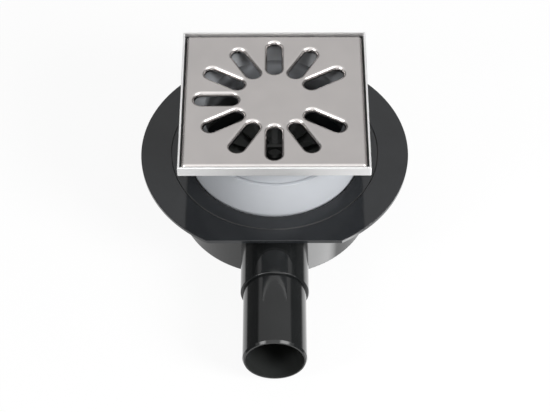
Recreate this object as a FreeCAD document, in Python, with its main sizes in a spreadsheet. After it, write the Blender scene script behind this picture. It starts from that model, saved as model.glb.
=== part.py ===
import FreeCAD, Part
import math
import os
import re
import Sketcher

from FreeCAD import Placement, Rotation, Vector

# Shower drain: a bowl with a side outlet, a sealing flange with a water trap in it,
# and a raising neck that turns and carries a square grate at the height of the tiles.
# Millimetres. +Z is up, the origin is the middle of the bowl's underside, and the
# outlet points along -Y.

doc = FreeCAD.newDocument("shower_drain")
sheet = doc.addObject("Spreadsheet::Sheet", "Sizes")

DRIVING_SIZES = [
    ("bowl_radius", 80.5, "bowl, outside, at the floor"),
    ("bowl_draft", 1.0, "how much wider the bowl is at its rim"),
    ("bowl_height", 58.5, "underside to the bowl's rim"),
    ("bowl_wall", 3.0, "bowl wall and floor"),
    ("bowl_round", 2.0, "rounding of the bowl's floor edge"),
    ("outlet_height", 31.0, "outlet axis above the underside"),
    ("outlet_reach", 188.4, "drain axis to the end of the spigot"),
    ("spigot_radius", 25.0, "50 mm waste pipe, outside"),
    ("spigot_wall", 2.2, "wall of the spigot"),
    ("spigot_taper", 1.0, "chamfer round the spigot's outer end, across"),
    ("spigot_round", 0.8, "rounding of the spigot's inner end"),
    ("spigot_step", 0.5, "how much slimmer the spigot is inside the socket"),
    ("socket_reach", 123.4, "drain axis to the end of the bowl's socket"),
    ("socket_radius", 27.2, "socket of the bowl, outside"),
    ("socket_stop", 92.0, "drain axis to the stop in the socket"),
    ("socket_round", 0.9, "rounding of the socket's end"),
    ("socket_seal_place", 12.0, "end of the socket to its seal ring"),
    ("cord_socket", 1.1, "section of the socket's seal ring"),
    ("socket_groove", 1.1, "depth of that ring's groove"),
    ("flange_top", 64.0, "underside to the top of the flange"),
    ("flange_radius", 110.0, "sealing flange"),
    ("flange_flat", 96.2, "drain axis to the flange's straight edge"),
    ("flange_thickness", 3.0, "sealing flange plate"),
    ("flange_round", 0.4, "rounding of the flange's top edge"),
    ("throat_radius", 70.3, "throat that the neck turns in"),
    ("throat_wall", 3.1, "wall of the throat"),
    ("ledge_height", 50.0, "ledge under the neck and the trap insert"),
    ("ledge_thickness", 2.5, "ledge"),
    ("seat_radius", 52.2, "seat of the trap insert"),
    ("seat_depth", 8.0, "depth of that seat"),
    ("neck_seal_place", 4.6, "ledge to the groove of the neck's seal ring"),
    ("skirt_depth", 4.0, "how far the skirt plugs into the bowl"),
    ("skirt_edge", 1.1, "skirt below its seal ring"),
    ("boss_reach", 3.0, "thicker plate beyond the clamp ring"),
    ("ring_outer", 85.0, "clamp ring, outside"),
    ("ring_inner", 71.3, "clamp ring, inside"),
    ("ring_depth", 2.4, "recess for the clamp ring"),
    ("ring_proud", 0.4, "clamp ring above the flange"),
    ("ring_round", 0.8, "rounding of the clamp ring's top edges"),
    ("tongue_inset", 3.0, "clamp ring's outside to its tongue"),
    ("tongue_width", 2.0, "tongue under the clamp ring"),
    ("tongue_depth", 1.2, "depth of that tongue"),
    ("tongue_taper", 0.4, "taper of its sides"),
    ("neck_rim", 62.2, "rim of the raising neck"),
    ("neck_top", 91.0, "underside to the neck's rim"),
    ("neck_foot_wall", 3.0, "wall of the neck's foot"),
    ("neck_round", 0.7, "rounding of the neck's rim"),
    ("cone_step", 0.6, "flange up to the foot of the neck's cone"),
    ("rim_edge", 3.0, "neck's rim above its seal ring"),
    ("guide_radius", 60.1, "bore in the rim that guides the collar"),
    ("guide_depth", 13.0, "length of that bore"),
    ("guide_wall", 2.0, "wall of the guide"),
    ("guide_pocket", 5.0, "pocket between the guide's foot and the cone"),
    ("tube_radius", 59.6, "tube of the frame collar, outside"),
    ("tube_wall", 2.4, "wall of that tube"),
    ("tube_foot", 72.0, "underside to the lower end of that tube"),
    ("funnel_depth", 9.0, "collar's plate to the foot of its funnel"),
    ("funnel_edge", 1.8, "upright edge of the funnel under the plate"),
    ("funnel_wall", 1.2, "wall of the funnel at that edge"),
    ("frame_side", 150.0, "square frame, outside"),
    ("frame_top", 126.2, "underside to the top of the frame"),
    ("frame_height", 8.4, "height of the frame's edge"),
    ("frame_wall", 1.5, "frame sheet at the rim"),
    ("frame_ledge", 1.2, "frame sheet at the ledge"),
    ("frame_opening", 135.0, "square opening inside the ledge"),
    ("frame_corner", 0.8, "corner radius of the frame"),
    ("frame_round", 0.5, "rounding of the frame's top edge"),
    ("rim_depth", 4.4, "rim to ledge"),
    ("grate_side", 143.2, "square grate"),
    ("grate_depth", 1.0, "grate below the rim"),
    ("grate_sheet", 1.4, "grate sheet"),
    ("grate_corner", 3.0, "corner radius of the grate"),
    ("grate_edge_round", 1.9, "rounding of the grate's turned-down edge"),
    ("slot_half", 6.0, "half the width of a slot"),
    ("slot_near", 33.5, "centre of a slot's inner end"),
    ("slot_far", 58.9, "centre of a slot's outer end"),
    ("slot_lip", 2.3, "lip under the sheet"),
    ("slot_lip_wall", 1.3, "thickness of the lip"),
    ("slot_round", 2.1, "rounding into a slot"),
    ("slot_count", 11, "slots of the grate"),
    ("slot_places", 12, "even places for them round the grate"),
    ("insert_plug", 51.9, "plug of the trap insert, outside"),
    ("insert_rim", 54.0, "rim of the trap insert"),
    ("insert_wall", 1.9, "wall of the insert's funnel"),
    ("insert_edge", 2.0, "flat edge round that funnel"),
    ("insert_fall", 4.5, "fall of that funnel below the ledge"),
    ("rim_sheet", 1.6, "thickness of the insert's rim"),
    ("plug_wall", 3.0, "wall of the plug"),
    ("plug_edge", 2.0, "plug below its seal ring"),
    ("dip_radius", 24.0, "immersion tube, outside"),
    ("dip_wall", 2.0, "immersion tube, wall"),
    ("dip_foot", 11.0, "underside to the foot of the immersion tube"),
    ("cup_radius", 40.0, "trap cup, outside"),
    ("cup_wall", 1.8, "trap cup, wall"),
    ("cup_foot", 4.5, "underside of the bowl to the cup's floor"),
    ("cup_rim", 36.0, "underside of the bowl to the cup's rim"),
    ("cup_round", 4.0, "rounding of the cup's floor edge"),
    ("leg_half", 4.0, "half the width of a leg"),
    ("leg_wall", 2.0, "thickness of a leg"),
    ("leg_gap", 0.4, "gap between a leg and the cup"),
    ("leg_depth", 9.0, "cup's rim to the foot of a leg"),
    ("leg_top", 3.5, "ledge down to the root of a leg"),
    ("leg_count", 3, "legs that carry the cup"),
    ("barb_depth", 4.0, "cup's rim to the top of a barb"),
    ("barb_height", 2.0, "height of a barb"),
    ("strainer_radius", 53.0, "hair strainer"),
    ("strainer_sheet", 1.8, "thickness of the strainer's disc"),
    ("strainer_near", 19.0, "centre of a strainer slot's inner end"),
    ("strainer_far", 44.0, "centre of its outer end"),
    ("strainer_half", 2.6, "half the width of a strainer slot"),
    ("strainer_count", 16, "slots of the strainer"),
    ("grip_foot", 14.0, "half the grip's width at the disc"),
    ("grip_head", 10.0, "half the grip's width at its top"),
    ("grip_height", 16.0, "grip above the disc"),
    ("grip_wall", 3.0, "thickness of the grip"),
    ("grip_round", 3.0, "rounding of the grip's top corners"),
    ("stem_half", 7.0, "half the width of the grip's stem in the disc"),
    ("stem_head", 1.0, "how far the stem's head reaches past the slit"),
    ("finger_radius", 5.5, "hole for a finger in the grip"),
    ("finger_height", 8.0, "that hole's centre above the disc"),
    ("cord_seal", 1.4, "section of the small seal rings"),
    ("cord_trap", 1.7, "section of the trap and body seal rings"),
    ("seal_groove", 1.3, "depth of the grooves for the small seal rings"),
    ("slip_gap", 0.2, "gap between parts that are pushed together"),
    ("loose_gap", 0.3, "gap round parts that lie in each other"),
    ("turn_gap", 0.4, "gap round the neck in the throat"),
    ("end_gap", 0.1, "gap behind a part's end"),
    ("overcut", 1.0, "how far a cut runs past a face"),
]

for row, (alias, size, meaning) in enumerate(DRIVING_SIZES, start=1):
    sheet.set("A%d" % row, alias)
    sheet.set("B%d" % row, str(size))
    sheet.set("C%d" % row, meaning)
    sheet.setAlias("B%d" % row, alias)
doc.recompute()

ALIASES = {alias for alias, size, meaning in DRIVING_SIZES}
TINY = 0.01
parts = []


def number(expression):
    """The value of an expression written with the sheet's aliases."""
    return float(sheet.evalExpression(expression))


def bound(expression):
    """The same expression as another object has to write it."""
    def cell(word):
        return "Sizes." + word.group(0) if word.group(0) in ALIASES else word.group(0)
    return re.sub(r"[a-z_]+", cell, expression)


def new_body(label):
    body = doc.addObject("PartDesign::Body", "Body_" + label)
    body.Label = label
    parts.append(body)
    return body


def new_sketch(body, plane, offset="0", turn=0):
    """A sketch on one of the body's own planes, moved along the plane's normal."""
    sketch = body.newObject("Sketcher::SketchObject", "Sketch")
    support = next(f for f in body.Origin.OriginFeatures if f.Role == plane + "_Plane")
    sketch.AttachmentSupport = [(support, "")]
    sketch.MapMode = "FlatFace"
    turned = Rotation(Vector(0, 0, 1), turn)
    sketch.AttachmentOffset = Placement(Vector(0, 0, number(offset)), turned)
    sketch.setExpression("AttachmentOffset.Base.z", bound(offset))
    return sketch


def hold(sketch, kind, places, expression):
    """A dimension of the sketch that follows the sheet."""
    index = sketch.addConstraint(Sketcher.Constraint(kind, *places, number(expression)))
    sketch.setExpression("Constraints[%d]" % index, bound(expression))


def outline(sketch, corners):
    """A closed outline of straight lines, with each corner's two distances held."""
    points = [Vector(number(across), number(up), 0) for across, up in corners]
    for start, end in zip(points, points[1:] + points[:1]):
        sketch.addGeometry(Part.LineSegment(start, end), False)
    last = len(corners) - 1
    for line in range(len(corners)):
        following = 0 if line == last else line + 1
        sketch.addConstraint(Sketcher.Constraint("Coincident", line, 2, following, 1))
    for line, (across, up) in enumerate(corners):
        if number(across) == 0:
            sketch.addConstraint(Sketcher.Constraint("PointOnObject", line, 1, -2))
        else:
            hold(sketch, "DistanceX", (-1, 1, line, 1), across)
        if number(up) == 0:
            sketch.addConstraint(Sketcher.Constraint("PointOnObject", line, 1, -1))
        else:
            hold(sketch, "DistanceY", (-1, 1, line, 1), up)


def square(sketch, side):
    """A square about the sketch's origin."""
    half = "(%s) / 2" % side
    less = "-(%s) / 2" % side
    outline(sketch, [(less, less), (half, less), (half, half), (less, half)])


def circle(sketch, radius, across="0", up="0"):
    centre = Vector(number(across), number(up), 0)
    sketch.addGeometry(Part.Circle(centre, Vector(0, 0, 1), number(radius)), False)
    hold(sketch, "Radius", (0,), radius)
    for kind, place, axis in (("DistanceX", across, -2), ("DistanceY", up, -1)):
        if number(place) == 0:
            sketch.addConstraint(Sketcher.Constraint("PointOnObject", 0, 3, axis))
        else:
            hold(sketch, kind, (-1, 1, 0, 3), place)


def slot(sketch, near, far, half):
    """A slot with round ends along the sketch's X axis."""
    radius = number(half)
    near_place = Vector(number(near), 0, 0)
    far_place = Vector(number(far), 0, 0)
    aside = Vector(0, radius, 0)
    up = Vector(0, 0, 1)
    quarter = math.pi / 2
    far_end = Part.ArcOfCircle(Part.Circle(far_place, up, radius), -quarter, quarter)
    near_end = Part.ArcOfCircle(Part.Circle(near_place, up, radius), quarter, 3 * quarter)
    sketch.addGeometry(far_end, False)
    sketch.addGeometry(Part.LineSegment(far_place + aside, near_place + aside), False)
    sketch.addGeometry(near_end, False)
    sketch.addGeometry(Part.LineSegment(near_place - aside, far_place - aside), False)
    for side in range(4):
        sketch.addConstraint(Sketcher.Constraint("Tangent", side, 2, (side + 1) % 4, 1))
    for arc, place in ((0, far), (2, near)):
        sketch.addConstraint(Sketcher.Constraint("PointOnObject", arc, 3, -1))
        hold(sketch, "DistanceX", (-1, 1, arc, 3), place)
    hold(sketch, "Radius", (0,), half)


def revolve(body, corners, kind="Revolution"):
    """An outline in the XZ plane turned round the body's Z axis."""
    sketch = new_sketch(body, "XZ")
    outline(sketch, corners)
    turned = body.newObject("PartDesign::" + kind, kind)
    turned.Profile = sketch
    turned.ReferenceAxis = (sketch, ["V_Axis"])
    turned.Angle = 360
    doc.recompute()
    return turned


def pad(body, sketch, length):
    """Material from the sketch along its normal."""
    feature = body.newObject("PartDesign::Pad", "Pad")
    feature.Profile = sketch
    feature.Length = number(length)
    feature.setExpression("Length", bound(length))
    doc.recompute()
    return feature


def pocket(body, sketch, length):
    """A cut from the sketch along its normal, which has to take something away."""
    before = body.Shape.Volume
    feature = body.newObject("PartDesign::Pocket", "Pocket")
    feature.Profile = sketch
    feature.Reversed = True
    feature.Length = number(length)
    feature.setExpression("Length", bound(length))
    doc.recompute()
    if body.Shape.Volume > before - 1:
        raise RuntimeError("a pocket of %s cuts nothing" % body.Label)
    return feature


def around(body, features, count, angle=360):
    """The features repeated round the body's Z axis, over a whole turn or less."""
    pattern = body.newObject("PartDesign::PolarPattern", "PolarPattern")
    pattern.Originals = features
    pattern.Axis = (features[0].Profile[0], ["N_Axis"])
    pattern.Angle = angle
    pattern.Occurrences = int(number(count))
    body.Tip = pattern
    doc.recompute()
    return pattern


def edges_where(body, test):
    """The names of the body's edges that the test picks out."""
    return ["Edge%d" % place for place, edge in enumerate(body.Shape.Edges, 1) if test(edge)]


def ring_at(radius, height):
    """Picks the round edges about the Z axis with this radius at this height."""
    def test(edge):
        curve = edge.Curve
        if not isinstance(curve, Part.Circle):
            return False
        off_axis = curve.Center.distanceToLine(Vector(), Vector(0, 0, 1))
        off_height = abs(curve.Center.z - number(height))
        return max(off_axis, off_height, abs(curve.Radius - number(radius))) < TINY
    return test


def upright(edge):
    """Picks the edges that stand along Z."""
    return edge.BoundBox.XLength < TINY and edge.BoundBox.YLength < TINY


def level_at(height):
    """Picks the edges that lie level at this height."""
    def test(edge):
        box = edge.BoundBox
        return max(abs(box.ZMin - number(height)), abs(box.ZMax - number(height))) < TINY
    return test


def socket_end(edge):
    """Picks the round edge at the outer end of the bowl's socket."""
    box = edge.BoundBox
    return box.YLength < TINY and abs(box.YMin + number("socket_reach")) < TINY


def round_off(body, names, radius):
    if not names:
        raise RuntimeError("no edges of %s to round" % body.Label)
    base = body.Tip
    feature = body.newObject("PartDesign::Fillet", "Fillet")
    feature.Base = (base, names)
    feature.Radius = number(radius)
    feature.setExpression("Radius", bound(radius))
    doc.recompute()
    return feature


def seal_ring(label, radius, section, height):
    """A round rubber ring whose section is a circle."""
    ring = doc.addObject("Part::Torus", "Ring_" + label)
    ring.Label = label
    ring.setExpression("Radius1", bound(radius))
    ring.setExpression("Radius2", bound("(%s) / 2" % section))
    ring.setExpression("Placement.Base.z", bound(height))
    parts.append(ring)
    return ring


# Bowl: a drafted round pot with a socket for the outlet
bowl = new_body("bowl")
bowl_rim = "bowl_radius + bowl_draft"
bowl_bore = "bowl_radius - bowl_wall"
spigot_bore = "spigot_radius - spigot_wall"
plug_end = "spigot_radius - spigot_step"
socket_bore = plug_end + " + slip_gap / 2"
socket_root = "bowl_radius - 2 * bowl_wall"
revolve(bowl, [
    ("0", "0"),
    ("bowl_radius", "0"),
    (bowl_rim, "bowl_height"),
    ("0", "bowl_height"),
])
round_off(bowl, edges_where(bowl, ring_at("bowl_radius", "0")), "bowl_round")
socket = new_sketch(bowl, "XZ", socket_root)
circle(socket, "socket_radius", "0", "outlet_height")
pad(bowl, socket, "socket_reach - (%s)" % socket_root)
round_off(bowl, edges_where(bowl, socket_end), "socket_round")
revolve(bowl, [
    ("0", "bowl_wall"),
    (bowl_bore, "bowl_wall"),
    (bowl_bore + " + bowl_draft", "bowl_height + overcut"),
    ("0", "bowl_height + overcut"),
], "Groove")
round_off(bowl, edges_where(bowl, ring_at(bowl_bore, "bowl_wall")), "bowl_round / 2")
seal_place = "socket_reach - socket_seal_place"
for bore, start, length in (
    (spigot_bore, spigot_bore, "socket_reach"),
    (socket_bore, "socket_stop", "socket_reach"),
    (socket_bore + " + socket_groove", seal_place + " - cord_socket", "2 * cord_socket"),
):
    cut = new_sketch(bowl, "XZ", start)
    circle(cut, bore, "0", "outlet_height")
    pocket(bowl, cut, length)

# Outlet spigot: a length of waste pipe whose slimmer end is pushed into that socket, with a
# tapered outer end. It is drawn upright about its own axis and then laid along -Y.
spigot = new_body("outlet_spigot")
revolve(spigot, [
    (plug_end, "socket_stop + end_gap"),
    (plug_end, "socket_reach + end_gap"),
    ("spigot_radius", "socket_reach + end_gap"),
    ("spigot_radius", "outlet_reach - 2 * spigot_taper"),
    ("spigot_radius - spigot_taper", "outlet_reach"),
    (spigot_bore, "outlet_reach"),
    (spigot_bore, "socket_stop + end_gap"),
])
round_off(spigot, edges_where(spigot, ring_at(plug_end, "socket_stop + end_gap")), "spigot_round")
spigot.Placement = Placement(Vector(0, 0, number("outlet_height")), Rotation(Vector(1, 0, 0), 90))
spigot.setExpression("Placement.Base.z", bound("outlet_height"))
outlet_seal = seal_ring("outlet_seal", socket_bore + " + socket_groove - cord_socket / 2", "cord_socket",
                        "outlet_height")
outlet_seal.Placement.Rotation = Rotation(Vector(1, 0, 0), 90)
outlet_seal.setExpression("Placement.Base.y", bound("-(%s)" % seal_place))

# Sealing flange: the plate with its recess for the clamp ring, the throat for the neck,
# the ledge and seat for the trap insert, and the skirt that plugs into the bowl
flange = new_body("sealing_flange")
recess_floor = "flange_top - ring_depth"
recess_wall = "ring_outer + loose_gap"
tongue_outer = "ring_outer - tongue_inset"
tongue_inner = tongue_outer + " - tongue_width"
tongue_floor = recess_floor + " - tongue_depth"
throat_outer = "throat_radius + throat_wall"
throat_groove = "throat_radius + seal_groove"
neck_seal_foot = "ledge_height + neck_seal_place"
seat_outer = "seat_radius + ledge_thickness"
skirt_outer = "bowl_radius - bowl_wall + slip_gap"
skirt_inner = skirt_outer + " - throat_wall"
skirt_foot = "bowl_height - skirt_depth"
body_seal_foot = skirt_foot + " + skirt_edge"
trap_groove = "1.2 * cord_trap"
revolve(flange, [
    ("flange_radius", "flange_top"),
    (recess_wall, "flange_top"),
    (recess_wall, recess_floor),
    (tongue_outer + " + end_gap", recess_floor),
    (tongue_outer + " + end_gap", tongue_floor + " - loose_gap"),
    (tongue_inner + " - end_gap", tongue_floor + " - loose_gap"),
    (tongue_inner + " - end_gap", recess_floor),
    ("throat_radius", recess_floor),
    ("throat_radius", neck_seal_foot + " + 2 * cord_seal"),
    (throat_groove, neck_seal_foot + " + 2 * cord_seal"),
    (throat_groove, neck_seal_foot),
    ("throat_radius", neck_seal_foot),
    ("throat_radius", "ledge_height"),
    ("seat_radius", "ledge_height"),
    ("seat_radius", "ledge_height - seat_depth"),
    (seat_outer, "ledge_height - seat_depth"),
    (seat_outer, "ledge_height - ledge_thickness"),
    (throat_outer, "ledge_height - ledge_thickness"),
    (throat_outer, "bowl_height"),
    (skirt_inner, "bowl_height"),
    (skirt_inner, skirt_foot),
    (skirt_outer, skirt_foot),
    (skirt_outer, body_seal_foot),
    (skirt_outer + " - cord_trap", body_seal_foot),
    (skirt_outer + " - cord_trap", "%s + %s" % (body_seal_foot, trap_groove)),
    (skirt_outer, "%s + %s" % (body_seal_foot, trap_groove)),
    (skirt_outer, "bowl_height"),
    ("ring_outer + boss_reach", "bowl_height"),
    ("ring_outer + 1.5 * boss_reach", "flange_top - flange_thickness"),
    ("flange_radius", "flange_top - flange_thickness"),
])
straight_edge = new_sketch(flange, "XY", "bowl_height")
outline(straight_edge, [
    ("-flange_radius", "-flange_radius - overcut"),
    ("flange_radius", "-flange_radius - overcut"),
    ("flange_radius", "-flange_flat"),
    ("-flange_radius", "-flange_flat"),
])
pocket(flange, straight_edge, "flange_top - bowl_height + overcut")


def flange_rim(edge):
    """Picks the flange's outermost edge at its top, round and straight."""
    box = edge.BoundBox
    reach = max(box.XMax, -box.XMin, box.YMax, -box.YMin)
    return level_at("flange_top")(edge) and reach > number("ring_outer + 2 * loose_gap")


round_off(flange, edges_where(flange, flange_rim), "flange_round")
seal_ring("body_seal", skirt_outer + " - cord_trap / 2", "cord_trap",
          "%s + %s / 2" % (body_seal_foot, trap_groove))
seal_ring("neck_seal", throat_groove + " - cord_seal / 2", "cord_seal", neck_seal_foot + " + cord_seal")

# Clamp ring: lies in the flange's recess, with a tongue that presses the membrane down
clamp = new_body("clamp_ring")
clamp_top = "flange_top + ring_proud"
revolve(clamp, [
    ("ring_inner", recess_floor),
    (tongue_inner, recess_floor),
    (tongue_inner + " + tongue_taper", tongue_floor),
    (tongue_outer + " - tongue_taper", tongue_floor),
    (tongue_outer, recess_floor),
    ("ring_outer", recess_floor),
    ("ring_outer", clamp_top),
    ("ring_inner", clamp_top),
])
for edge_radius in ("ring_outer", "ring_inner"):
    round_off(clamp, edges_where(clamp, ring_at(edge_radius, clamp_top)), "ring_round")

# Raising neck: a tube in the throat, a cone, and a rim that guides the collar
neck = new_body("raising_neck")
neck_tube = "throat_radius - turn_gap"
neck_bore = neck_tube + " - neck_foot_wall"
neck_foot = "ledge_height + end_gap"
cone_foot = "flange_top + cone_step"
guide_foot = "neck_top - guide_depth"
guide_outer = "guide_radius + guide_wall"
guide_groove = "guide_radius + cord_seal"
collar_seal_top = "neck_top - rim_edge"
collar_seal_foot = collar_seal_top + " - 2 * cord_seal"
revolve(neck, [
    (neck_bore, neck_foot),
    (neck_tube, neck_foot),
    (neck_tube, cone_foot),
    ("neck_rim", "neck_top"),
    ("guide_radius", "neck_top"),
    ("guide_radius", collar_seal_top),
    (guide_groove, collar_seal_top),
    (guide_groove, collar_seal_foot),
    ("guide_radius", collar_seal_foot),
    ("guide_radius", guide_foot),
    (guide_outer, guide_foot),
    (guide_outer, guide_foot + " + guide_pocket"),
    (neck_bore, cone_foot),
])
round_off(neck, edges_where(neck, ring_at("neck_rim", "neck_top")), "neck_round")
seal_ring("collar_seal", guide_groove + " - cord_seal / 2", "cord_seal", collar_seal_top + " - cord_seal")

# Frame collar: a square plate under the frame's ledge, a funnel and the tube in the neck
collar = new_body("frame_collar")
frame_foot = "frame_top - frame_height"
ledge_under = "frame_top - rim_depth - frame_ledge"
plate_side = "frame_side - 2 * frame_wall - 2 * slip_gap"
funnel_mouth = "frame_opening / 2 - loose_gap"
funnel_outer = funnel_mouth + " + funnel_wall"
funnel_foot = frame_foot + " - funnel_depth"
tube_bore = "tube_radius - tube_wall"
plate = new_sketch(collar, "XY", frame_foot)
square(plate, plate_side)
pad(collar, plate, "%s - (%s)" % (ledge_under, frame_foot))
revolve(collar, [
    ("0", "tube_foot"),
    ("tube_radius", "tube_foot"),
    ("tube_radius", funnel_foot),
    (funnel_outer, frame_foot + " - funnel_edge"),
    (funnel_outer, ledge_under),
    ("0", ledge_under),
])
revolve(collar, [
    ("0", "tube_foot - overcut"),
    (tube_bore, "tube_foot - overcut"),
    (tube_bore, funnel_foot + " + tube_wall"),
    (funnel_mouth, ledge_under + " - funnel_wall"),
    (funnel_mouth, ledge_under + " + overcut"),
    ("0", ledge_under + " + overcut"),
], "Groove")

# Grate frame: one square of steel sheet with a rim and a ledge for the grate
frame = new_body("grate_frame")
inner_side = "frame_side - 2 * frame_wall"
frame_block = new_sketch(frame, "XY", frame_foot)
square(frame_block, "frame_side")
pad(frame, frame_block, "frame_height")
round_off(frame, edges_where(frame, upright), "frame_corner")
round_off(frame, edges_where(frame, level_at("frame_top")), "frame_round")
for side, start, height in (
    (inner_side, "frame_top - rim_depth", "rim_depth + overcut"),
    ("frame_opening", frame_foot + " - overcut", "frame_height + 2 * overcut"),
    (inner_side, frame_foot + " - overcut", "%s - (%s) + overcut" % (ledge_under, frame_foot)),
):
    cut = new_sketch(frame, "XY", start)
    square(cut, side)
    pocket(frame, cut, height)

# Grate: pressed sheet with a turned-down edge, and slots whose rims are drawn down.
# One of the twelve places has no slot.
grate = new_body("grate")
grate_top = "frame_top - grate_depth"
grate_foot = "frame_top - rim_depth"
grate_height = "rim_depth - grate_depth"
sheet_under = grate_top + " - grate_sheet"
lip_half = "slot_half + slot_lip_wall"
place_angle = 360 / number("slot_places")
grate_plate = new_sketch(grate, "XY", grate_foot)
square(grate_plate, "grate_side")
pad(grate, grate_plate, grate_height)
round_off(grate, edges_where(grate, upright), "grate_corner")
round_off(grate, edges_where(grate, level_at(grate_top)), "grate_edge_round")
hollow = new_sketch(grate, "XY", grate_foot + " - overcut")
square(hollow, "grate_side - 2 * grate_sheet")
pocket(grate, hollow, grate_height + " - grate_sheet + overcut")
lip = new_sketch(grate, "XY", sheet_under + " - slot_lip", place_angle)
slot(lip, "slot_near", "slot_far", lip_half)
lip_pad = pad(grate, lip, "slot_lip + grate_sheet / 2")
hole = new_sketch(grate, "XY", sheet_under + " - slot_lip - overcut", place_angle)
slot(hole, "slot_near", "slot_far", "slot_half")
hole_cut = pocket(grate, hole, "slot_lip + grate_sheet + 2 * overcut")
around(grate, [lip_pad, hole_cut], "slot_count", place_angle * (number("slot_count") - 1))


def slot_rim(edge):
    """Picks the slots' edges in the grate's face, and not the outline of that face."""
    box = edge.BoundBox
    reach = max(abs(box.XMin), abs(box.XMax), abs(box.YMin), abs(box.YMax))
    return level_at(grate_top)(edge) and reach < number("slot_far + slot_half") + TINY


round_off(grate, edges_where(grate, slot_rim), "slot_round")

# Trap insert: a funnel with a plug, an immersion tube and three legs that carry the cup
insert = new_body("trap_insert")
rim_top = "ledge_height + rim_sheet"
dip_bore = "dip_radius - dip_wall"
funnel_floor = "ledge_height - insert_fall"
plug_bore = "insert_plug - plug_wall"
plug_foot = "ledge_height - seat_depth + loose_gap"
plug_groove = "insert_plug - cord_trap + end_gap"
plug_seal_foot = plug_foot + " + plug_edge"
plug_seal_top = "%s + %s" % (plug_seal_foot, trap_groove)
revolve(insert, [
    ("insert_rim", "ledge_height"),
    ("insert_rim", rim_top),
    ("insert_plug - insert_edge", rim_top),
    (dip_bore, funnel_floor),
    (dip_bore, "dip_foot"),
    ("dip_radius", "dip_foot"),
    ("dip_radius", funnel_floor + " - insert_wall"),
    (plug_bore, "ledge_height - insert_wall"),
    (plug_bore, plug_foot),
    ("insert_plug", plug_foot),
    ("insert_plug", plug_seal_foot),
    (plug_groove, plug_seal_foot),
    (plug_groove, plug_seal_top),
    ("insert_plug", plug_seal_top),
    ("insert_plug", "ledge_height"),
])
seal_ring("trap_seal", plug_groove + " + cord_trap / 2", "cord_trap",
          "%s + %s / 2" % (plug_seal_foot, trap_groove))
cup_bore = "cup_radius - cup_wall"
leg_outer = cup_bore + " - leg_gap"
leg_foot = "cup_rim - leg_depth"
barb_top = "cup_rim - barb_depth"
leg = new_sketch(insert, "XY", leg_foot)
outline(leg, [
    (leg_outer + " - leg_wall", "-leg_half"),
    (leg_outer, "-leg_half"),
    (leg_outer, "leg_half"),
    (leg_outer + " - leg_wall", "leg_half"),
])
leg_pad = pad(insert, leg, "ledge_height - leg_top - (%s)" % leg_foot)
barb = new_sketch(insert, "XY", barb_top + " - barb_height")
outline(barb, [
    (leg_outer + " - leg_wall / 2", "loose_gap - leg_half"),
    ("cup_radius - leg_gap", "loose_gap - leg_half"),
    ("cup_radius - leg_gap", "leg_half - loose_gap"),
    (leg_outer + " - leg_wall / 2", "leg_half - loose_gap"),
])
barb_pad = pad(insert, barb, "barb_height")
around(insert, [leg_pad, barb_pad], "leg_count")

# Trap cup: holds the water that closes the foot of the immersion tube
cup = new_body("trap_cup")
cup_floor = "cup_foot + cup_wall"
revolve(cup, [
    ("0", "cup_foot"),
    ("cup_radius", "cup_foot"),
    ("cup_radius", "cup_rim"),
    (cup_bore, "cup_rim"),
    (cup_bore, cup_floor),
    ("0", cup_floor),
])
round_off(cup, edges_where(cup, ring_at("cup_radius", "cup_foot")), "cup_round")
round_off(cup, edges_where(cup, ring_at(cup_bore, cup_floor)), "cup_round - cup_wall / 2")
window = new_sketch(cup, "XY", barb_top + " - barb_height - overcut")
outline(window, [
    (cup_bore + " - overcut", "-leg_half"),
    ("cup_radius + overcut", "-leg_half"),
    ("cup_radius + overcut", "leg_half"),
    (cup_bore + " - overcut", "leg_half"),
])
around(cup, [pocket(cup, window, "barb_height + overcut")], "leg_count")

# Hair strainer: a slotted disc on the insert's rim, with a slit for its grip that is longer
# in the disc's lower half
strainer = new_body("hair_strainer")
disc_top = rim_top + " + strainer_sheet"
head_half = "stem_half + stem_head"
slit_aside = "grip_wall / 2 + slip_gap"
revolve(strainer, [
    ("0", rim_top),
    ("strainer_radius", rim_top),
    ("strainer_radius", disc_top),
    ("0", disc_top),
])
drain_slot = new_sketch(strainer, "XY", rim_top + " - overcut")
slot(drain_slot, "strainer_near", "strainer_far", "strainer_half")
slot_cut = pocket(strainer, drain_slot, "strainer_sheet + 2 * overcut")
around(strainer, [slot_cut], "strainer_count")
for reach, height in (
    ("stem_half + slip_gap", "strainer_sheet + 2 * overcut"),
    (head_half + " + slip_gap", "strainer_sheet / 2 + overcut"),
):
    slit = new_sketch(strainer, "XY", rim_top + " - overcut")
    outline(slit, [
        ("-(%s)" % reach, "-(%s)" % slit_aside),
        (reach, "-(%s)" % slit_aside),
        (reach, slit_aside),
        ("-(%s)" % reach, slit_aside),
    ])
    pocket(strainer, slit, height)

# Strainer grip: stands on the disc, with a stem in its slit and a head that snaps in below
grip = new_body("strainer_grip")
grip_top = disc_top + " + grip_height"
head_top = rim_top + " + strainer_sheet / 2 - end_gap"
grip_plate = new_sketch(grip, "XZ", "-grip_wall / 2")
outline(grip_plate, [
    ("-grip_foot", disc_top),
    ("-stem_half", disc_top),
    ("-stem_half", head_top),
    ("-(%s)" % head_half, head_top),
    ("-stem_half", rim_top),
    ("stem_half", rim_top),
    (head_half, head_top),
    ("stem_half", head_top),
    ("stem_half", disc_top),
    ("grip_foot", disc_top),
    ("grip_head", grip_top),
    ("-grip_head", grip_top),
])
pad(grip, grip_plate, "grip_wall")


def grip_corner(edge):
    """Picks the two short edges at the top of the grip."""
    across = abs(edge.BoundBox.YLength - number("grip_wall")) < TINY
    return across and level_at(grip_top)(edge)


round_off(grip, edges_where(grip, grip_corner), "grip_round")
finger = new_sketch(grip, "XZ", "-grip_wall")
circle(finger, "finger_radius", "0", disc_top + " + finger_height")
pocket(grip, finger, "2 * grip_wall")

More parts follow.
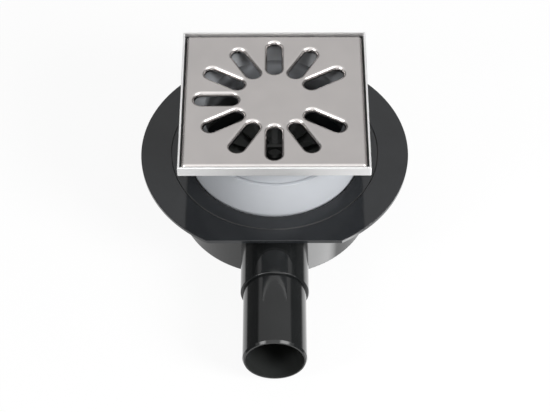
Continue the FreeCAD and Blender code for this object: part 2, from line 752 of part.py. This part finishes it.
# Every object of the document is whole before anything is written
doc.recompute()
for item in doc.Objects:
    if "Invalid" in item.State or "Error" in item.State:
        raise RuntimeError("%s in %s failed" % (item.Name, item.Label))
os.makedirs("parts", exist_ok=True)
for part in parts:
    shape = part.Shape
    if shape.isNull() or not shape.isValid():
        raise RuntimeError("%s has no valid shape" % part.Label)
    if len(shape.Solids) != 1:
        raise RuntimeError("%s is %d solids" % (part.Label, len(shape.Solids)))
    shape.exportStep("parts/%s.step" % part.Label)
    box = shape.optimalBoundingBox()
    print("%-15s %9.0f mm3  x %.1f %.1f  y %.1f %.1f  z %.1f %.1f" % (
        part.Label, shape.Volume, box.XMin, box.XMax, box.YMin, box.YMax, box.ZMin, box.ZMax))
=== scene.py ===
import math

import bmesh
import bpy
from mathutils import Matrix, Vector


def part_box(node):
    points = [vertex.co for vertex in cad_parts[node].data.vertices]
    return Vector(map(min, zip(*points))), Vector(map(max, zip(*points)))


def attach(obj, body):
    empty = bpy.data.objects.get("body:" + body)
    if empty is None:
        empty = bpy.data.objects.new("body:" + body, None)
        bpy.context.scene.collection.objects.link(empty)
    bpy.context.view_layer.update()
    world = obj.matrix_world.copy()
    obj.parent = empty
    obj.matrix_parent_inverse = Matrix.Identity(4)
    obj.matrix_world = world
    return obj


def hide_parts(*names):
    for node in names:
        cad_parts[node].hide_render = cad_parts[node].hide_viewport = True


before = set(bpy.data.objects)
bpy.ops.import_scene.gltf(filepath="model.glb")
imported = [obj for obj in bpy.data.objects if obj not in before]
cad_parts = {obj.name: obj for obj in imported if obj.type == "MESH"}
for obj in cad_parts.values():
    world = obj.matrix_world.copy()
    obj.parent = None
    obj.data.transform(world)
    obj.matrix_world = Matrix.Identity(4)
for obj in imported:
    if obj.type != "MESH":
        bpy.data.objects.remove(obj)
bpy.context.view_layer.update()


# Bowl and outlet
# The bowl under the flange is moulded in black polypropylene with a high gloss, and has a
# short socket for the waste pipe. The spigot is a length of black pipe pushed into it. Its
# bore is painted lighter: painted light for the floor's reflection inside the pipe.

GLOSS_BLACK = (0.0115, 0.0125, 0.0128, 1.0)
GLOSS_BLACK_WORN = (0.015, 0.0162, 0.0166, 1.0)
GLOSS_POLISH = (0.07, 0.13)
GLOSS_PEEL_SIZE = 0.011
GLOSS_PEEL_DEPTH = 0.00003
PLASTIC_IOR = 1.5
CLOUD_SIZE = 0.035
CLOUD_DETAIL = 6.0
NOISE_LOW = 0.3
NOISE_HIGH = 0.7
BORE_PAINTED_LIGHT = (0.028, 0.03, 0.029, 1.0)
BORE_POLISH = 0.4
OUTLET_AXIS = (0, 0, 0.031)
ACROSS_OUTLET = (1, 0, 1)
FACING_IN = -0.01


def add(tree, kind, sockets=(), **properties):
    """A new node of the tree, with its properties and unlinked sockets set."""
    made = tree.nodes.new(kind)
    for name, value in properties.items():
        setattr(made, name, value)
    for name, value in dict(sockets).items():
        made.inputs[name].default_value = value
    return made


def join(tree, source, target):
    """Links an output to an input, or gives the input this value."""
    if isinstance(source, bpy.types.NodeSocket):
        tree.links.new(source, target)
    else:
        target.default_value = source


def maths(tree, first, second, operation="ADD"):
    """The sum of two numbers, or what another operation makes of them."""
    step = add(tree, "ShaderNodeMath", operation=operation)
    join(tree, first, step.inputs[0])
    join(tree, second, step.inputs[1])
    return step.outputs["Value"]


def vector_maths(tree, first, second, operation):
    """What an operation makes of two places or directions."""
    step = add(tree, "ShaderNodeVectorMath", operation=operation)
    join(tree, first, step.inputs[0])
    join(tree, second, step.inputs[1])
    return step.outputs["Value" if operation == "DOT_PRODUCT" else "Vector"]


def parts_of(tree, place):
    """The three numbers of a place."""
    parts = add(tree, "ShaderNodeSeparateXYZ")
    join(tree, place, parts.inputs[0])
    return parts.outputs


def noise(tree, place, size, detail=2.0):
    """Cloudy values from 0 to 1 whose patches are about this size, in metres."""
    cloud = add(tree, "ShaderNodeTexNoise", {"Scale": 1 / size, "Detail": detail})
    join(tree, place, cloud.inputs["Vector"])
    return cloud.outputs["Fac"]


def spread(tree, value, low, high):
    """The middle of a noise's values spread over this range."""
    reach = add(tree, "ShaderNodeMapRange", {
        "From Min": NOISE_LOW, "From Max": NOISE_HIGH, "To Min": low, "To Max": high})
    join(tree, value, reach.inputs["Value"])
    return reach.outputs["Result"]


def mixed(tree, kind, share, first, second):
    """The first colour or number turned into the second by this share."""
    mix = add(tree, "ShaderNodeMix", data_type=kind)
    join(tree, first, mix.inputs["A"])
    join(tree, second, mix.inputs["B"])
    join(tree, share, mix.inputs["Factor"])
    return mix.outputs["Result"]


def blank_material(name):
    """A material that holds only a shader and the piece's own coordinates."""
    material = bpy.data.materials.new(name)
    material.use_nodes = True
    tree = material.node_tree
    tree.nodes.clear()
    shader = add(tree, "ShaderNodeBsdfPrincipled")
    join(tree, shader.outputs["BSDF"], add(tree, "ShaderNodeOutputMaterial").inputs["Surface"])
    place = add(tree, "ShaderNodeTexCoord").outputs["Object"]
    return material, tree, shader, place


def dents(tree, shader, value, depth):
    """Small relief of this depth, in metres, in the surface."""
    bump = add(tree, "ShaderNodeBump", {"Distance": depth})
    join(tree, value, bump.inputs["Height"])
    join(tree, bump.outputs["Normal"], shader.inputs["Normal"])


def moulded(name, tone, worn_tone, polish, peel_size, peel_depth):
    """Injection-moulded plastic: uneven gloss, a slightly cloudy colour and a faint orange peel."""
    material, tree, shader, place = blank_material(name)
    shader.inputs["IOR"].default_value = PLASTIC_IOR
    clouds = noise(tree, place, CLOUD_SIZE, CLOUD_DETAIL)
    colour = mixed(tree, "RGBA", spread(tree, clouds, 0, 1), tone, worn_tone)
    join(tree, colour, shader.inputs["Base Color"])
    join(tree, spread(tree, clouds, *polish), shader.inputs["Roughness"])
    dents(tree, shader, noise(tree, place, peel_size), peel_depth)
    return material


def paint_light_and_shade(material, share_of, tone, polish):
    """Paints this colour, as painted light and shade, and sets this polish where share_of says 1 for a
    place and a normal.
    """
    tree = material.node_tree
    shader = next(node for node in tree.nodes if node.type == "BSDF_PRINCIPLED")
    where = add(tree, "ShaderNodeTexCoord").outputs
    share = share_of(tree, where["Object"], where["Normal"])
    for name, kind, painted in (("Base Color", "RGBA", tone), ("Roughness", "FLOAT", polish)):
        clean = shader.inputs[name].links[0].from_socket
        join(tree, mixed(tree, kind, share, clean, painted), shader.inputs[name])


def looks_inwards(tree, place, normal, through, across):
    """1 on the faces that look at an axis through this place, square to these directions."""
    from_axis = vector_maths(tree, place, through, "SUBTRACT")
    outwards = vector_maths(tree, from_axis, across, "MULTIPLY")
    facing = vector_maths(tree, outwards, normal, "DOT_PRODUCT")
    return maths(tree, facing, FACING_IN, "LESS_THAN")


def dress(node, material):
    """The CAD node gets this material."""
    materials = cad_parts[node].data.materials
    materials.clear()
    materials.append(material)


def gloss_plastic(name):
    """The plastic of the bowl and of the pipe."""
    return moulded(name, GLOSS_BLACK, GLOSS_BLACK_WORN, GLOSS_POLISH, GLOSS_PEEL_SIZE, GLOSS_PEEL_DEPTH)


def bore_of_spigot(tree, place, normal):
    """The whole bore of the pipe."""
    return looks_inwards(tree, place, normal, OUTLET_AXIS, ACROSS_OUTLET)


dress("bowl", gloss_plastic("bowl_plastic"))
pipe_plastic = gloss_plastic("pipe_plastic")
# The bore is painted lighter: painted light that stands in for the floor's reflection inside the pipe.
paint_light_and_shade(pipe_plastic, bore_of_spigot, BORE_PAINTED_LIGHT, BORE_POLISH)
dress("outlet_spigot", pipe_plastic)


# Sealing flange and clamp ring
# The flange is the upper black moulding, with the throat for the neck. The ring lies in its
# recess and clamps the membrane. Both are glossy. The ring's edges are matt, and are painted a
# shade darker: a painted dark line of shade along the edge.

FLANGE_BLACK = (0.0175, 0.0192, 0.0215, 1.0)
FLANGE_BLACK_WORN = (0.022, 0.0238, 0.0262, 1.0)
FLANGE_POLISH = (0.05, 0.09)
FLANGE_PEEL_SIZE = 0.02
FLANGE_PEEL_DEPTH = 0.00003
RING_POLISH = (0.06, 0.1)
RING_TOP_LOOKS_UP = 0.97
RING_EDGE_PAINTED_DARK = (0.01, 0.01, 0.01, 1.0)
RING_EDGE_POLISH = 0.55


def ring_edges(tree, place, normal):
    """The rounded edges and the sides of the clamp ring."""
    return maths(tree, parts_of(tree, normal)["Z"], RING_TOP_LOOKS_UP, "LESS_THAN")


def flange_plastic(name, polish):
    """The plastic of the flange and of the ring."""
    return moulded(name, FLANGE_BLACK, FLANGE_BLACK_WORN, polish, FLANGE_PEEL_SIZE, FLANGE_PEEL_DEPTH)


dress("sealing_flange", flange_plastic("flange_plastic", FLANGE_POLISH))
ring_plastic = flange_plastic("ring_plastic", RING_POLISH)
# The ring's edges get a matt polish and a darker colour, which paints a dark line of shade along them.
paint_light_and_shade(ring_plastic, ring_edges, RING_EDGE_PAINTED_DARK, RING_EDGE_POLISH)
dress("clamp_ring", ring_plastic)


# Seal rings
# Matt black rubber cords in the grooves of the socket, the skirt, the throat, the neck's rim
# and the plug of the trap insert.

RUBBER = (0.012, 0.012, 0.012, 1.0)
RUBBER_DUSTY = (0.03, 0.03, 0.03, 1.0)
RUBBER_POLISH = (0.55, 0.75)
RUBBER_GRAIN_SIZE = 0.0012
RUBBER_GRAIN_DEPTH = 0.00002

rubber = moulded("seal_rubber", RUBBER, RUBBER_DUSTY, RUBBER_POLISH, RUBBER_GRAIN_SIZE, RUBBER_GRAIN_DEPTH)
for ring in ("outlet_seal", "body_seal", "neck_seal", "collar_seal", "trap_seal"):
    dress(ring, rubber)


# Trap insert, trap cup and hair strainer
# Black satin mouldings that lift out for cleaning: a funnel with an immersion tube, the cup
# that hangs on its three legs, and a slotted disc with a finger grip.

TRAP_BLACK = (0.1, 0.106, 0.1, 1.0)
TRAP_BLACK_WORN = (0.11, 0.116, 0.11, 1.0)
TRAP_POLISH = (0.22, 0.38)
TRAP_PEEL_SIZE = 0.003
TRAP_PEEL_DEPTH = 0.00002

trap_plastic = moulded("trap_plastic", TRAP_BLACK, TRAP_BLACK_WORN, TRAP_POLISH,
                       TRAP_PEEL_SIZE, TRAP_PEEL_DEPTH)
for piece in ("trap_insert", "trap_cup", "hair_strainer", "strainer_grip"):
    dress(piece, trap_plastic)


# Raising neck and frame collar
# Light grey polypropylene mouldings with a satin skin: the neck turns in the flange, and the
# collar slides in the neck and carries the frame. Inside, both are painted dark as painted
# shade under the grate, and so is the collar's plate under the ledge.

PALE_GREY = (0.55, 0.57, 0.60, 1.0)
PALE_GREY_WORN = (0.53, 0.55, 0.58, 1.0)
PALE_POLISH = (0.28, 0.34)
PALE_PEEL_SIZE = 0.006
PALE_PEEL_DEPTH = 0.00002
INSIDE_PAINTED_SHADE = (0.012, 0.012, 0.012, 1.0)
INSIDE_SHADE_POLISH = 0.5
SHADE_LOW = 0.072
SHADE_HIGH = 0.1194

# How much painted shade the inside gets, from the low height to the high one
SHADE_BY_HEIGHT = (
    (0.0, 0.95),
    (0.24, 0.90),
    (0.42, 0.10),
    (0.70, 0.0),
    (0.83, 0.35),
    (1.0, 0.78),
)

PLATE_TOP = 0.12
DRAIN_AXIS = (0, 0, 0)
ACROSS_DRAIN = (1, 1, 0)


def steps_of(tree, value, lowest, highest, steps):
    """What these steps, as places from 0 to 1 and levels, say for a value in this range."""
    reach = add(tree, "ShaderNodeMapRange", {"From Min": lowest, "From Max": highest})
    join(tree, value, reach.inputs["Value"])
    ramp = add(tree, "ShaderNodeValToRGB")
    stops = ramp.color_ramp.elements
    while len(stops) < len(steps):
        stops.new(0.5)
    for stop, (place, level) in zip(stops, steps):
        stop.position = place
        stop.color = (level, level, level, 1.0)
    join(tree, reach.outputs["Result"], ramp.inputs["Fac"])
    return ramp.outputs["Color"]


def inside_of_collar(tree, place, normal):
    """Where the painted shade goes: faces that look at the drain's axis, by their height, and the plate
    under the ledge.
    """
    height = parts_of(tree, place)["Z"]
    inside = looks_inwards(tree, place, normal, DRAIN_AXIS, ACROSS_DRAIN)
    by_height = steps_of(tree, height, SHADE_LOW, SHADE_HIGH, SHADE_BY_HEIGHT)
    walls = maths(tree, inside, by_height, "MULTIPLY")
    return maths(tree, walls, maths(tree, height, PLATE_TOP, "GREATER_THAN"), "MAXIMUM")


pale_plastic = moulded("pale_grey_plastic", PALE_GREY, PALE_GREY_WORN, PALE_POLISH,
                       PALE_PEEL_SIZE, PALE_PEEL_DEPTH)
# The inside of the neck and collar and the collar's plate are painted dark: painted shade under the grate.
paint_light_and_shade(pale_plastic, inside_of_collar, INSIDE_PAINTED_SHADE, INSIDE_SHADE_POLISH)
dress("raising_neck", pale_plastic)
dress("frame_collar", pale_plastic)


# Grate frame
# One square of stainless steel strip, welded at a corner and ground to a satin finish. The
# ledge inside it is painted dark: painted shade in the narrow gap beside the grate.

FRAME_STEEL = (0.88, 0.88, 0.88, 1.0)
FRAME_STEEL_DULL = (0.84, 0.84, 0.84, 1.0)
FRAME_POLISH = (0.5, 0.6)
FRAME_LINE_LENGTH = 0.02
FRAME_LINE_WIDTH = 0.0004
FRAME_LINE_DEPTH = 0.000003
STEEL_CLOUD_SIZE = 0.03
LINE_DETAIL = 3.0
LEDGE_PAINTED_SHADE = (0.05, 0.05, 0.05, 1.0)
LEDGE_POLISH = 0.6
LEDGE_TOP = 0.1224
RIM_INSIDE = 0.0737


def brushed(name, tone, dull_tone, polish, along, across, depth):
    """Stainless steel ground with a belt: fine lines that run along the piece's X axis."""
    material, tree, shader, place = blank_material(name)
    shader.inputs["Metallic"].default_value = 1.0
    lay = add(tree, "ShaderNodeMapping", {"Scale": (1 / along, 1 / across, 1 / across)})
    join(tree, place, lay.inputs["Vector"])
    lines = noise(tree, lay.outputs["Vector"], 1.0, LINE_DETAIL)
    clouds = noise(tree, place, STEEL_CLOUD_SIZE, LINE_DETAIL)
    colour = mixed(tree, "RGBA", spread(tree, clouds, 0, 1), tone, dull_tone)
    join(tree, colour, shader.inputs["Base Color"])
    join(tree, spread(tree, lines, *polish), shader.inputs["Roughness"])
    dents(tree, shader, lines, depth)
    return material


def ledge_of_frame(tree, place, normal):
    """The ledge inside the rim, and nothing of the rim."""
    parts = parts_of(tree, place)
    aside = [maths(tree, parts[axis], 0, "ABSOLUTE") for axis in "XY"]
    inside = maths(tree, maths(tree, *aside, "MAXIMUM"), RIM_INSIDE, "LESS_THAN")
    return maths(tree, inside, maths(tree, parts["Z"], LEDGE_TOP, "LESS_THAN"), "MULTIPLY")


frame_steel = brushed("frame_steel", FRAME_STEEL, FRAME_STEEL_DULL, FRAME_POLISH,
                      FRAME_LINE_LENGTH, FRAME_LINE_WIDTH, FRAME_LINE_DEPTH)
# The ledge is painted dark: painted shade in the gap between the frame and the grate.
paint_light_and_shade(frame_steel, ledge_of_frame, LEDGE_PAINTED_SHADE, LEDGE_POLISH)
dress("grate_frame", frame_steel)


# Grate
# One pressed sheet of stainless steel. Its edge is turned down all round, and eleven slots are
# drawn down in it like the hours of a clock, with a bare place at three o'clock.

GRATE_STEEL = (0.60, 0.572, 0.56, 1.0)
GRATE_STEEL_DULL = (0.56, 0.535, 0.525, 1.0)
GRATE_POLISH = (0.255, 0.265)
GRATE_LINE_LENGTH = 0.03
GRATE_LINE_WIDTH = 0.00025
GRATE_LINE_DEPTH = 0.0000002
GRATE_SIZES = {
    "Side": 0.1446,
    "Corner": 0.0036,
    "Edge Roll": 0.0033,
    "Edge Depth": 0.0034,
    "Slot Near End": 0.029,
    "Slot Far End": 0.0638,
    "Slot Half Width": 0.0057,
    "Slot Roll": 0.0031,
    "Slot Depth": 0.0039,
    "Rim Flat": 0.0001,
}
GRATE_SHEET = 0.0012
SLOT_PLACES = 12
CORNER_STEPS = 10
ROLL_STEPS = 14
INSIDE = 1
OUTSIDE = -1
FEWER_THAN_TWO = 1.5
AT_THE_TOP = -0.000001
WELD = 0.00001
SHARP = math.radians(35)

grate_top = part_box("grate")[1].z


def vector_of(tree, across, down):
    """A vector of two numbers. In a profile, Y points down once it is carried round an outline."""
    place = add(tree, "ShaderNodeCombineXYZ")
    join(tree, across, place.inputs["X"])
    join(tree, down, place.inputs["Y"])
    return place.outputs["Vector"]


def rounded_outline(tree, width, height, corner):
    """A rectangle with rounded corners about the origin, as a curve."""
    outline = add(tree, "GeometryNodeCurvePrimitiveQuadrilateral")
    join(tree, width, outline.inputs["Width"])
    join(tree, height, outline.inputs["Height"])
    rounding = add(tree, "GeometryNodeFilletCurve", {"Count": CORNER_STEPS}, mode="POLY")
    join(tree, outline.outputs[0], rounding.inputs["Curve"])
    join(tree, corner, rounding.inputs["Radius"])
    upright = add(tree, "GeometryNodeSetCurveNormal", mode="Z_UP")
    join(tree, rounding.outputs[0], upright.inputs["Curve"])
    return upright.outputs[0]


def together(tree, *pieces):
    """These pieces as one."""
    heap = add(tree, "GeometryNodeJoinGeometry")
    for piece in pieces:
        join(tree, piece, heap.inputs[0])
    return heap.outputs[0]


def moved(tree, piece, **changes):
    """The piece with this Translation, Scale or both."""
    move = add(tree, "GeometryNodeTransform")
    join(tree, piece, move.inputs["Geometry"])
    for name, value in changes.items():
        join(tree, value, move.inputs[name])
    return move.outputs[0]


def rolled_profile(tree, roll, depth, flat, side):
    """The section of a rolled rim: flat, then a quarter of an ellipse down to its full depth."""
    aside = maths(tree, roll, side, "MULTIPLY")
    start = maths(tree, aside, maths(tree, flat, side, "MULTIPLY"))
    lead = add(tree, "GeometryNodeCurvePrimitiveLine")
    join(tree, vector_of(tree, start, 0), lead.inputs["Start"])
    join(tree, vector_of(tree, aside, 0), lead.inputs["End"])
    quarter = add(tree, "GeometryNodeCurveArc", {
        "Resolution": ROLL_STEPS, "Radius": 1.0,
        "Start Angle": -math.pi / 2, "Sweep Angle": -side * math.pi / 2})
    down = moved(tree, quarter.outputs[0], Scale=vector_of(tree, roll, depth),
                 Translation=vector_of(tree, aside, depth))
    return together(tree, down, lead.outputs[0])


def swept(tree, outline, profile):
    """The profile carried round the outline."""
    sweep = add(tree, "GeometryNodeCurveToMesh")
    join(tree, outline, sweep.inputs["Curve"])
    join(tree, profile, sweep.inputs["Profile Curve"])
    return sweep.outputs[0]


def turned_edge(tree, sizes):
    """The rim round the whole sheet."""
    outline = rounded_outline(tree, sizes["Side"], sizes["Side"], sizes["Corner"])
    profile = rolled_profile(tree, sizes["Edge Roll"], sizes["Edge Depth"], sizes["Rim Flat"], OUTSIDE)
    return swept(tree, outline, profile)


def drawn_slot(tree, sizes):
    """The rim of one slot, which lies along the X axis."""
    near, far, half_width = (sizes["Slot " + name] for name in ("Near End", "Far End", "Half Width"))
    length = maths(tree, far, near, "SUBTRACT")
    outline = rounded_outline(tree, length, maths(tree, half_width, 2, "MULTIPLY"), half_width)
    profile = rolled_profile(tree, sizes["Slot Roll"], sizes["Slot Depth"], sizes["Rim Flat"], INSIDE)
    middle = maths(tree, maths(tree, far, near), 0.5, "MULTIPLY")
    return moved(tree, swept(tree, outline, profile), Translation=vector_of(tree, middle, 0))


def round_the_clock(tree, slot):
    """The slot in every place but one."""
    places = add(tree, "GeometryNodePoints", {"Count": SLOT_PLACES - 1})
    hour = maths(tree, add(tree, "GeometryNodeInputIndex").outputs[0], 1)
    turn = add(tree, "ShaderNodeCombineXYZ")
    join(tree, maths(tree, hour, 2 * math.pi / SLOT_PLACES, "MULTIPLY"), turn.inputs["Z"])
    slots = add(tree, "GeometryNodeInstanceOnPoints")
    join(tree, places.outputs[0], slots.inputs["Points"])
    join(tree, slot, slots.inputs["Instance"])
    join(tree, turn.outputs[0], slots.inputs["Rotation"])
    return slots.outputs[0]


def made_real(tree, copies):
    """The copies as a mesh of their own."""
    real = add(tree, "GeometryNodeRealizeInstances")
    join(tree, copies, real.inputs[0])
    return real.outputs[0]


def welded(tree, mesh):
    """The mesh with the points that meet made one."""
    weld = add(tree, "GeometryNodeMergeByDistance", {"Distance": WELD})
    join(tree, mesh, weld.inputs["Geometry"])
    return weld.outputs[0]


def flat_between(tree, rims):
    """The flat of the sheet, between the upper borders of the rims."""
    height = parts_of(tree, add(tree, "GeometryNodeInputPosition").outputs[0])["Z"]
    at_top = maths(tree, height, AT_THE_TOP, "GREATER_THAN")
    faces_beside = add(tree, "GeometryNodeInputMeshEdgeNeighbors").outputs[0]
    bare = maths(tree, faces_beside, FEWER_THAN_TWO, "LESS_THAN")
    border = add(tree, "GeometryNodeMeshToCurve")
    join(tree, rims, border.inputs["Mesh"])
    join(tree, maths(tree, at_top, bare, "MULTIPLY"), border.inputs["Selection"])
    flat = add(tree, "GeometryNodeFillCurve")
    join(tree, border.outputs[0], flat.inputs["Curve"])
    return flat.outputs[0]


def linked_object(name, data):
    """A new object of the scene for this mesh, lamp or camera."""
    made = bpy.data.objects.new(name, data)
    bpy.context.scene.collection.objects.link(made)
    return made


def input_of(modifier, label):
    """The identifier under which a modifier keeps the input with this name."""
    items = modifier.node_group.interface.items_tree
    return next(i.identifier for i in items if i.name == label and i.in_out == "INPUT")


def finished_mesh(piece):
    """The mesh that the piece's modifiers make."""
    return bpy.data.meshes.new_from_object(piece.evaluated_get(bpy.context.evaluated_depsgraph_get()))


pressing = bpy.data.node_groups.new("pressed_grate", "GeometryNodeTree")
pressing.interface.new_socket("Geometry", in_out="INPUT", socket_type="NodeSocketGeometry")
pressing.interface.new_socket("Geometry", in_out="OUTPUT", socket_type="NodeSocketGeometry")
for label in GRATE_SIZES:
    pressing.interface.new_socket(label, in_out="INPUT", socket_type="NodeSocketFloat")
pressing.interface.new_socket("Steel", in_out="INPUT", socket_type="NodeSocketMaterial")
given = add(pressing, "NodeGroupInput").outputs
slots = round_the_clock(pressing, drawn_slot(pressing, given))
rims = welded(pressing, made_real(pressing, together(pressing, turned_edge(pressing, given), slots)))
whole = welded(pressing, together(pressing, flat_between(pressing, rims), rims))
coated = add(pressing, "GeometryNodeSetMaterial")
join(pressing, made_real(pressing, moved(pressing, whole, Translation=(0, 0, grate_top))),
     coated.inputs["Geometry"])
join(pressing, given["Steel"], coated.inputs["Material"])
join(pressing, coated.outputs[0], add(pressing, "NodeGroupOutput").inputs[0])

grate_steel = brushed("grate_steel", GRATE_STEEL, GRATE_STEEL_DULL, GRATE_POLISH,
                      GRATE_LINE_LENGTH, GRATE_LINE_WIDTH, GRATE_LINE_DEPTH)
grate_maker = linked_object("grate_maker", bpy.data.meshes.new("grate_maker"))
press = grate_maker.modifiers.new("press", "NODES")
press.node_group = pressing
for label, size in GRATE_SIZES.items():
    press[input_of(press, label)] = size
press[input_of(press, "Steel")] = grate_steel
pressed = finished_mesh(grate_maker)
bpy.data.objects.remove(grate_maker)

skin = bmesh.new()
skin.from_mesh(pressed)
bmesh.ops.recalc_face_normals(skin, faces=skin.faces)
if max(skin.faces, key=lambda face: face.calc_area()).normal.z < 0:
    bmesh.ops.reverse_faces(skin, faces=skin.faces)
skin.to_mesh(pressed)
skin.free()

grate = linked_object("pressed_grate", pressed)
thickness = grate.modifiers.new("sheet", "SOLIDIFY")
thickness.thickness = GRATE_SHEET
thickness.offset = -1
thickness.use_even_offset = True
solid = finished_mesh(grate)
grate.modifiers.clear()
grate.data = solid
solid.shade_smooth()
solid.set_sharp_from_angle(angle=SHARP)
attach(grate, "head")
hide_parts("grate")


# Studio
# A white floor and a white surround, a soft key light from the right, weaker ones from the
# left and the front, and the camera where the photographer stood.

FLOOR_SIZE = 12.0
FLOOR_TONE = (0.9, 0.9, 0.9, 1.0)
FLOOR_GLOW = 1.04
FLOOR_SHOWS_SHADOW = 0.12
ROOM_LIGHT = 0.34
WHITE = (1, 1, 1, 1)
LAMPS_AIM = Vector((0, 0, 0.08))
LAMPS = (
    ("key", (1.25, -0.9, 0.95), 0.7, 25.0),
    ("fill", (-1.1, -0.8, 0.95), 0.35, 5.0),
    ("front", (0.1, -2.2, 0.25), 0.5, 3.0),
)

# The key lamp has no mirror image, so that steel stays grey when it is seen from behind
LAMPS_MIRRORED = ("fill", "front")

LENS = 112.85
SENSOR = 36.0
CAMERA_PLACE = Vector((0.00374, -0.9526, 1.1210))
CAMERA_ELEVATION = math.radians(49.83)
CAMERA_YAW = math.radians(-0.22)
CAMERA_ROLL = math.radians(-0.31)

# What shiny surfaces see, from straight below to straight above: white paper, a dark gap
# round the horizon and a pale ceiling
SURROUND = (
    (0.0, 1.0),
    (0.28, 1.0),
    (0.33, 0.1),
    (0.68, 0.1),
    (0.72, 0.7),
    (0.9, 0.8),
    (1.0, 0.95),
)

# Boards of light in front of that: where each one lies, how many degrees from its middle it
# is whole and where it ends, and how bright it is
BOARDS = (
    ((0.533, -0.36, -0.765), 9.0, 17.0, 4.2),
    ((0.55, 0.35, -0.70), 25.0, 32.0, 0.4),
    ((0.0, -0.5, 0.866), 25.0, 60.0, 0.6),
    ((0.54, -0.35, 0.77), 10.0, 19.0, 6.0),
    ((-0.62, -0.35, 0.70), 6.0, 14.0, 6.0),
)


def blended(tree, share, first, second):
    """The first shader turned into the second by this share."""
    blend = add(tree, "ShaderNodeMixShader")
    for place, source in enumerate((share, first, second)):
        join(tree, source, blend.inputs[place])
    return blend.outputs[0]


floor_mesh = bpy.data.meshes.new("floor")
half = FLOOR_SIZE / 2
floor_mesh.from_pydata([(-half, -half, 0), (half, -half, 0), (half, half, 0), (-half, half, 0)],
                       [], [(0, 1, 2, 3)])
floor = linked_object("floor", floor_mesh)
floor.visible_glossy = False
paper = bpy.data.materials.new("white_floor")
paper.use_nodes = True
tree = paper.node_tree
tree.nodes.clear()
matt = add(tree, "ShaderNodeBsdfDiffuse", {"Color": FLOOR_TONE})
white = add(tree, "ShaderNodeEmission", {"Strength": FLOOR_GLOW})
seen = add(tree, "ShaderNodeLightPath").outputs["Is Camera Ray"]
share = maths(tree, seen, 1 - FLOOR_SHOWS_SHADOW, "MULTIPLY")
glowing = blended(tree, share, matt.outputs[0], white.outputs[0])
join(tree, glowing, add(tree, "ShaderNodeOutputMaterial").inputs["Surface"])
floor_mesh.materials.append(paper)

world = bpy.data.worlds.new("studio")
bpy.context.scene.world = world
world.use_nodes = True
tree = world.node_tree
tree.nodes.clear()
towards = add(tree, "ShaderNodeTexCoord").outputs["Generated"]
mirrored_light = steps_of(tree, parts_of(tree, towards)["Z"], -1, 1, SURROUND)
for board_towards, whole_reach, last_reach, light in BOARDS:
    facing = vector_maths(tree, towards, Vector(board_towards).normalized(), "DOT_PRODUCT")
    board = add(tree, "ShaderNodeMapRange", {
        "From Min": math.cos(math.radians(last_reach)), "From Max": math.cos(math.radians(whole_reach)),
        "To Min": 0.0, "To Max": light})
    join(tree, facing, board.inputs["Value"])
    mirrored_light = maths(tree, mirrored_light, board.outputs["Result"])
rays = add(tree, "ShaderNodeLightPath").outputs
room = add(tree, "ShaderNodeBackground", {"Strength": ROOM_LIGHT})
surround = add(tree, "ShaderNodeBackground")
join(tree, mirrored_light, surround.inputs["Color"])
backdrop = add(tree, "ShaderNodeBackground", {"Strength": 1.0, "Color": WHITE})
mirrored = maths(tree, rays["Is Glossy Ray"], rays["Is Transmission Ray"], "MAXIMUM")
lighting = blended(tree, mirrored, room.outputs[0], surround.outputs[0])
whole_world = blended(tree, rays["Is Camera Ray"], lighting, backdrop.outputs[0])
join(tree, whole_world, add(tree, "ShaderNodeOutputWorld").inputs["Surface"])

for name, place, side, power in LAMPS:
    lamp = bpy.data.lights.new(name, "AREA")
    lamp.shape = "SQUARE"
    lamp.size = side
    lamp.energy = power
    holder = linked_object(name, lamp)
    holder.location = place
    holder.visible_glossy = name in LAMPS_MIRRORED
    holder.rotation_euler = (LAMPS_AIM - Vector(place)).to_track_quat("-Z", "Y").to_euler()

forward = Vector((math.sin(CAMERA_YAW) * math.cos(CAMERA_ELEVATION),
                  math.cos(CAMERA_YAW) * math.cos(CAMERA_ELEVATION),
                  -math.sin(CAMERA_ELEVATION)))
level_right = Vector((math.cos(CAMERA_YAW), -math.sin(CAMERA_YAW), 0))
level_up = level_right.cross(forward)
right = math.cos(CAMERA_ROLL) * level_right + math.sin(CAMERA_ROLL) * level_up
up = math.cos(CAMERA_ROLL) * level_up - math.sin(CAMERA_ROLL) * level_right
camera_data = bpy.data.cameras.new("camera")
camera_data.lens = LENS
camera_data.sensor_width = SENSOR
camera_data.sensor_fit = "HORIZONTAL"
camera = linked_object("camera", camera_data)
camera.matrix_world = Matrix.Translation(CAMERA_PLACE) @ Matrix((right, up, -forward)).transposed().to_4x4()
bpy.context.scene.camera = camera
bpy.context.scene.view_settings.view_transform = "Standard"
